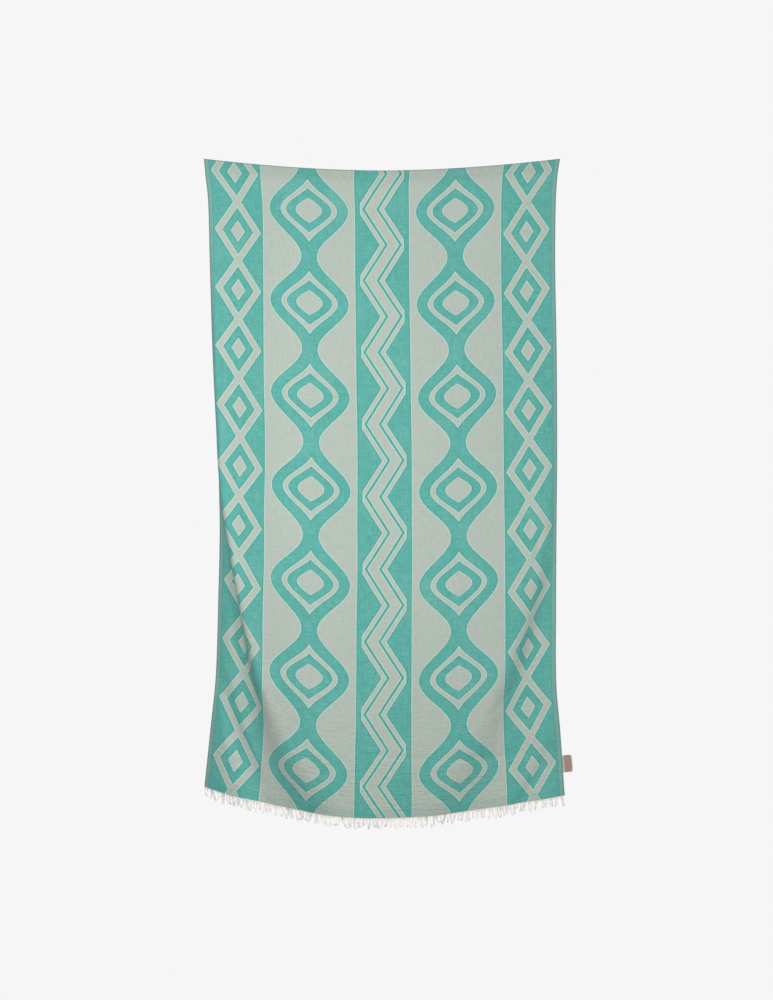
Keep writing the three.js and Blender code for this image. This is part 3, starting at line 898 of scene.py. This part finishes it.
fringe_mesh = bpy.data.meshes.new("fringe_threads")
fringe_mesh.from_pydata(thread_points, [], thread_faces)
fringe_mesh.polygons.foreach_set("use_smooth", np.ones(len(thread_faces), dtype=bool))
lay_flat(fringe_mesh, "along_thread", thread_marks)

FRINGE_CREAM = linear(253, 251, 248)
FRINGE_DARK_YARN_AND_SHADE = linear(205, 190, 181)
FRINGE_UNEVEN = {"across_size": 0.0016, "down_size": 0.35, "detail": 2, "seed": 12}
FRINGE_UNEVEN_RANGE = (0.38, 0.72)
FRINGE_UNEVEN_SHARE = {"root": 0.85, "fall": 0.6}
FRINGE_ROOT_SHADE_REACH = 0.4
FRINGE_ROOT_SHADE_SHARE = 0.4
TWIST_TURNS = 22
TWIST_SLANT = 4000
TWIST_HEIGHT = 0.00006
FRINGE_ROUGHNESS = 0.95
FRINGE_SHEEN = 0.15


def loose_yarn():
    """Undyed cotton, with uneven darker threads, a twist that shows as fine slanting ribs, and painted
    shade at the roots.
    """
    finish = Finish("fringe_yarn")
    along, across = finish.places("along_thread")
    uneven = finish.noise(across, along, **FRINGE_UNEVEN).smooth(*FRINGE_UNEVEN_RANGE)
    # Darker threads show at random. They show more near the roots, which is partly painted shade.
    share = FRINGE_UNEVEN_SHARE["root"] - along * FRINGE_UNEVEN_SHARE["fall"]
    # Painted shade: the threads are darkened near their roots, where they crowd together and shade each
    # other
    root = (1 - along.smooth(0, FRINGE_ROOT_SHADE_REACH)) * FRINGE_ROOT_SHADE_SHARE
    colour = finish.mix(uneven * share, FRINGE_CREAM, FRINGE_DARK_YARN_AND_SHADE)
    colour = finish.mix(root, colour, FRINGE_DARK_YARN_AND_SHADE)
    twist = along * (2 * math.pi * TWIST_TURNS) + across * TWIST_SLANT
    height = twist.math("SINE") * TWIST_HEIGHT
    return finish.surface(colour, FRINGE_ROUGHNESS, height, FRINGE_SHEEN)


fringe_mesh.materials.append(loose_yarn())
fringe = bpy.data.objects.new("fringe_threads", fringe_mesh)
bpy.context.collection.objects.link(fringe)
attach(fringe, "root")
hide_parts("fringe_bottom")

# Label. A strip of woven tape is folded back on itself and caught behind the right selvedge near
# the hem. It is left blank, with a cream edge where it is sewn and a thin one at the fold.
LABEL_DOWN = 1.710
LABEL_HEIGHT = 0.048
LABEL_OUT = 0.028
LABEL_SEATED = 0.008
LABEL_LAYER = 0.0007
LABEL_LOOP = 0.0012
LABEL_TILT = math.radians(1.4)
LABEL_CLEARANCE = 0.0014
LABEL_STEPS = 20
LABEL_BEND_STEPS = 8
LABEL_ROWS = 24
LABEL_RIPPLE = 0.0011
LABEL_RIPPLE_TURN = 5.2
LABEL_RIPPLE_START = 0.6
LABEL_DRAWN_IN = 0.0022

label_thickness = 2 * LABEL_LAYER + LABEL_LOOP
label_middle = label_thickness / 2
label_bend = LABEL_OUT - label_middle
outer, inner = [], []
for x in np.linspace(-LABEL_SEATED, label_bend, LABEL_STEPS):
    outer.append((x, 0.0))
    inner.append((x, LABEL_LAYER))
for angle in np.linspace(-90, 90, LABEL_BEND_STEPS)[1:-1]:
    out, rise = math.cos(math.radians(angle)), math.sin(math.radians(angle))
    outer.append((label_bend + out * label_middle, label_middle + rise * label_middle))
    inner.append((label_bend + out * LABEL_LOOP / 2, label_middle + rise * LABEL_LOOP / 2))
for x in np.linspace(label_bend, -LABEL_SEATED, LABEL_STEPS):
    outer.append((x, label_thickness))
    inner.append((x, label_thickness - LABEL_LAYER))

seat_across = CLOTH_WIDTH - LABEL_SEATED * np.array([1, 0.5, 0])
seat_down = LABEL_DOWN + LABEL_HEIGHT * np.array([-0.5, 0, 0.5])
label_places = cloth_places(seat_across, seat_down)
label_normal = Vector(cloth_normals(label_places)[1, 1])
upward = Vector(label_places[0, 2] - label_places[2, 2])
upward = (upward - label_normal * upward.dot(label_normal)).normalized()
upward = Matrix.Rotation(LABEL_TILT, 3, label_normal) @ upward
backward = -label_normal
outward = backward.cross(upward)
label_seat = Vector(label_places[1, 2]) + backward * (CLOTH_THICKNESS / 2 + LABEL_CLEARANCE)

label_points, label_faces, label_marks = [], [], []
profile = outer + inner[::-1]
reach = np.cumsum([0] + [math.dist(a, b) for a, b in zip(outer, outer[1:])])
marks = list(reach) + list(reach[::-1])
for row in range(LABEL_ROWS + 1):
    share = row / LABEL_ROWS
    height = (share - 0.5) * LABEL_HEIGHT
    for (x, y), mark in zip(profile, marks):
        free = max(x, 0) / LABEL_OUT
        ripple = LABEL_RIPPLE * free ** 2 * math.sin(share * LABEL_RIPPLE_TURN + LABEL_RIPPLE_START)
        drawn_in = LABEL_DRAWN_IN * free ** 4 * abs(2 * share - 1) ** 5
        point = label_seat + outward * (x - drawn_in) + backward * (y + ripple) + upward * height
        label_points.append(tuple(point))
        label_marks.append((mark, share * LABEL_HEIGHT))
ring = len(profile)
for row in range(LABEL_ROWS):
    for spot in range(ring):
        a, b = row * ring + spot, row * ring + (spot + 1) % ring
        label_faces.append((a, b, b + ring, a + ring))
pairs = len(outer)
for row, turned in ((0, True), (LABEL_ROWS, False)):
    for spot in range(pairs - 1):
        a, b = row * ring + spot, row * ring + spot + 1
        c, d = row * ring + ring - 2 - spot, row * ring + ring - 1 - spot
        label_faces.append((d, c, b, a) if turned else (a, b, c, d))

label_mesh = bpy.data.meshes.new("side_label_tape")
label_mesh.from_pydata(label_points, [], label_faces)
lay_flat(label_mesh, "along_tape", label_marks)

TAPE_BROWN = linear(148, 126, 115)
TAPE_DEEP_BROWN = linear(136, 114, 102)
TAPE_CREAM = linear(190, 178, 164)
TAPE_UNEVEN = {"across_size": 0.004, "down_size": 0.0008, "detail": 2, "seed": 14}
TAPE_UNEVEN_SHARE = 0.5
TAPE_RIB_PITCH = 0.0006
TAPE_RIB_HEIGHT = 0.00005
TAPE_SEAM = (0.0042, 0.0050)
TAPE_RIM = (0.0018, 0.0026)
TAPE_ROUGHNESS = 0.7
TAPE_SHEEN = 0.1


def tape():
    """Close-woven tape in a pinkish brown, with cream ends and a fine rib."""
    finish = Finish("label_tape")
    along, up = finish.places("along_tape")
    ribs = [way * (2 * math.pi / TAPE_RIB_PITCH) for way in (along, up)]
    rib, pick = (way.math("SINE") for way in ribs)
    uneven = finish.noise(along, up, **TAPE_UNEVEN)
    fold = LABEL_SEATED + LABEL_OUT
    from_fold = abs(along - fold)
    seam = 1 - (fold - from_fold - LABEL_SEATED).smooth(*TAPE_SEAM)
    rim = 1 - from_fold.smooth(*TAPE_RIM)
    colour = finish.mix(uneven * TAPE_UNEVEN_SHARE, TAPE_BROWN, TAPE_DEEP_BROWN)
    colour = finish.mix(seam.math("MAXIMUM", rim), colour, TAPE_CREAM)
    height = (rib * pick + uneven) * TAPE_RIB_HEIGHT
    return finish.surface(colour, TAPE_ROUGHNESS, height, TAPE_SHEEN)


label_mesh.materials.append(tape())
label = bpy.data.objects.new("side_label_tape", label_mesh)
bpy.context.collection.objects.link(label)
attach(label, "root")
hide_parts("side_label")
